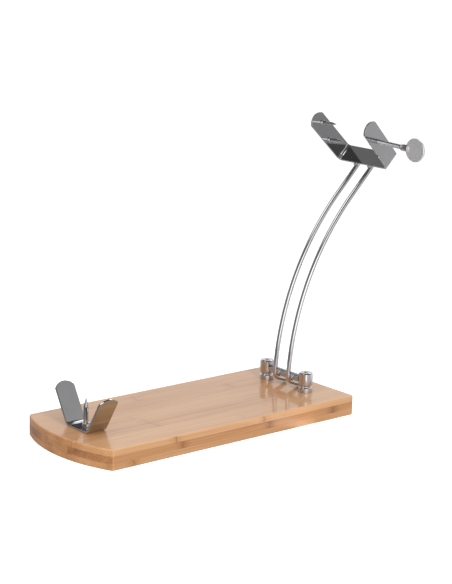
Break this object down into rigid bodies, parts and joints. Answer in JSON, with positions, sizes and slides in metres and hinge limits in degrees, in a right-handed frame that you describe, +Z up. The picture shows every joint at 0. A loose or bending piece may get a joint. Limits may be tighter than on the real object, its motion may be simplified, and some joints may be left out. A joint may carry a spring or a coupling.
{
  "type": "folding ham stand",
  "caption": "Bamboo board with a folding bent-rod arm that clamps a ham's shank in a spiked steel cradle, and a splayed front bracket with an upright spike.",
  "frame": {"origin": "middle of the board's underside, on the surface that the stand rests on", "axes": "+Z up; +X from the bowed front end towards the hinge end; +Y to the right of someone looking along -X, so the clamp screw is on the -Y side"},
  "size_m": [0.5009, 0.2096, 0.3672],
  "materials": {
    "bamboo_light": "light bamboo laminate under satin lacquer",
    "bamboo_dark": "caramel bamboo laminate under satin lacquer",
    "polished_steel": "mirror-polished stainless steel",
    "strap_steel": "smooth rolled stainless strap, lightly polished",
    "fixing_steel": "plain machined stainless fixings"
  },
  "bodies": {
    "base": {"board_bottom_ply": "bamboo_light", "board_core_ply": "bamboo_dark", "board_top_ply": "bamboo_light", "bracket_washer": "fixing_steel", "post_left_washer": "fixing_steel", "post_right_washer": "fixing_steel", "post_left_bolt": "fixing_steel", "post_right_bolt": "fixing_steel", "hinge_post_left": "polished_steel", "hinge_post_right": "polished_steel", "post_left_grub": "fixing_steel", "post_right_grub": "fixing_steel", "front_bracket": "strap_steel", "bracket_spike": "polished_steel", "spike_nut": "polished_steel", "spike_lock_nut": "fixing_steel"},
    "arm": {"hinge_bar": "polished_steel", "arm_rod_left": "polished_steel", "arm_rod_right": "polished_steel", "cradle_strap": "strap_steel", "cradle_weld_left": "strap_steel", "cradle_weld_right": "strap_steel", "upper_barb": "polished_steel", "upper_barb_nut": "fixing_steel", "lower_barb": "polished_steel", "lower_barb_nut": "fixing_steel", "clamp_nut": "fixing_steel"},
    "screw": {"clamp_screw": "polished_steel"},
    "knob": {"disc_hub": "polished_steel", "thumb_disc": "strap_steel"}
  },
  "joints": [
    {"name": "arm_fold", "type": "hinge", "parent": "base", "child": "arm", "pos_m": [0.159, 0, 0.0405], "axis": [0, -1, 0], "range_deg": [0, 90]},
    {"name": "clamp_feed", "type": "slide", "parent": "arm", "child": "screw", "axis": [-0.0448, 0.998, 0.044], "range_m": [-0.009, 0.037]},
    {"name": "clamp_turn", "type": "hinge", "parent": "screw", "child": "knob", "pos_m": [0.26234, -0.10952, 0.33734], "axis": [-0.0448, 0.998, 0.044], "range_deg": [-3242, 13322]}
  ],
  "couplings": [
    {"joint": "clamp_turn", "follows": "clamp_feed", "rad_per_m": 6283.2}
  ]
}
